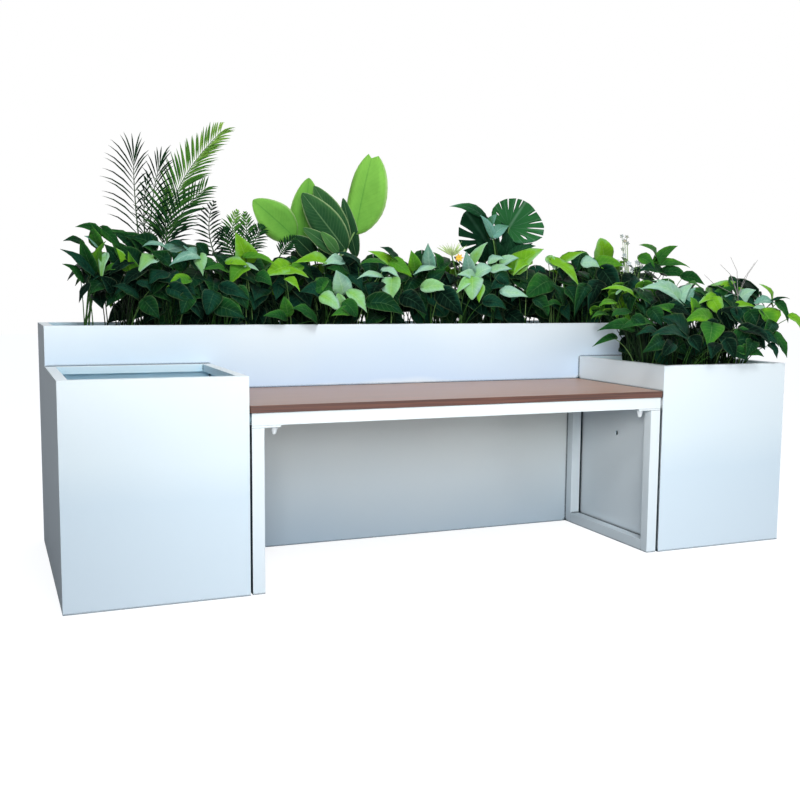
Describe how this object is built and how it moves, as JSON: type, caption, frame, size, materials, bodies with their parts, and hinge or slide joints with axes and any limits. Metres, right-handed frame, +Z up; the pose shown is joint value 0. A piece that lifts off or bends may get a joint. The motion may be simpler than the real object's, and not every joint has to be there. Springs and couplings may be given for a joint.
{
  "type": "bench with planter",
  "caption": "Slatless wood-look bench seat on a square tube frame between low square planters, with a long taller planter behind it, all in white coated sheet and planted.",
  "frame": {"origin": "on the floor, at the middle of the underside of the long rear planter", "axes": "+X to the right along the width, +Y to the back, +Z up, seen from the front of the seat"},
  "size_m": [2.0888, 0.8123, 1.1873],
  "materials": {
    "powder_coat": "gloss powder coat",
    "seat_wood": "satin sealed",
    "zinc_steel": "zinc plated",
    "nut_plastic": "moulded gloss",
    "liner_plastic": "moulded matt",
    "soil": "loose potting mix",
    "leaf_green": "waxy leaf",
    "palm_green": "waxy leaf",
    "banana_green": "waxy leaf",
    "monstera_green": "waxy leaf",
    "flower_yellow": "soft petals",
    "pale_blossom": "dry stems and buds"
  },
  "bodies": {
    "furniture": {"rear_planter_shell": "powder_coat", "rear_planter_base": "powder_coat", "rear_liner_stand_left": "zinc_steel", "rear_liner_stand_right": "zinc_steel", "left_planter_shell": "powder_coat", "left_planter_base": "powder_coat", "right_planter_shell": "powder_coat", "right_planter_base": "powder_coat", "right_liner_stand": "zinc_steel", "left_joining_bolt": "zinc_steel", "left_joining_nut": "zinc_steel", "right_joining_bolt": "zinc_steel", "right_joining_nut": "zinc_steel", "seat_board": "seat_wood", "seat_rail_front": "powder_coat", "seat_rail_rear": "powder_coat", "seat_rail_left": "powder_coat", "seat_rail_right": "powder_coat", "cross_member_left": "powder_coat", "cross_member_right": "powder_coat", "seat_screw_left_front": "zinc_steel", "seat_screw_left_rear": "zinc_steel", "seat_screw_right_front": "zinc_steel", "seat_screw_right_rear": "zinc_steel", "left_floor_rail": "powder_coat", "left_leg_front": "powder_coat", "left_leg_rear": "powder_coat", "left_leg_plate_front": "powder_coat", "left_leg_plate_rear": "powder_coat", "left_stud_front": "zinc_steel", "left_stud_rear": "zinc_steel", "right_floor_rail": "powder_coat", "right_leg_front": "powder_coat", "right_leg_rear": "powder_coat", "right_leg_plate_front": "powder_coat", "right_leg_plate_rear": "powder_coat", "right_stud_front": "zinc_steel", "right_stud_rear": "zinc_steel"},
    "rear_planting": {"rear_liner": "liner_plastic", "rear_soil": "soil", "palm_plant": "palm_green", "fern_plant": "palm_green", "banana_plant": "banana_green", "monstera_plant": "monstera_green", "flower_plant": "flower_yellow", "sprig_plant": "pale_blossom", "leafy_plant_rear_1": "leaf_green", "leafy_plant_rear_2": "leaf_green", "leafy_plant_rear_3": "leaf_green", "leafy_plant_rear_4": "leaf_green"},
    "right_planting": {"right_liner": "liner_plastic", "right_soil": "soil", "twig_plant": "pale_blossom", "leafy_plant_right_1": "leaf_green", "leafy_plant_right_2": "leaf_green"},
    "nut_left_front": {"left_hand_nut_front": "nut_plastic"},
    "nut_left_rear": {"left_hand_nut_rear": "nut_plastic"},
    "nut_right_front": {"right_hand_nut_front": "nut_plastic"},
    "nut_right_rear": {"right_hand_nut_rear": "nut_plastic"}
  },
  "joints": [
    {"name": "rear_liner_lift", "type": "slide", "parent": "furniture", "child": "rear_planting", "axis": [0, 0, 1], "range_m": [0, 0.21]},
    {"name": "right_liner_lift", "type": "slide", "parent": "furniture", "child": "right_planting", "axis": [0, 0, 1], "range_m": [0, 0.21]},
    {"name": "nut_left_front_turn", "type": "hinge", "parent": "furniture", "child": "nut_left_front", "pos_m": [-0.515, -0.562, 0.388], "axis": [0, 0, 1], "continuous": true},
    {"name": "nut_left_rear_turn", "type": "hinge", "parent": "furniture", "child": "nut_left_rear", "pos_m": [-0.515, -0.1655, 0.388], "axis": [0, 0, 1], "continuous": true},
    {"name": "nut_right_front_turn", "type": "hinge", "parent": "furniture", "child": "nut_right_front", "pos_m": [0.515, -0.562, 0.388], "axis": [0, 0, 1], "continuous": true},
    {"name": "nut_right_rear_turn", "type": "hinge", "parent": "furniture", "child": "nut_right_rear", "pos_m": [0.515, -0.1655, 0.388], "axis": [0, 0, 1], "continuous": true}
  ]
}
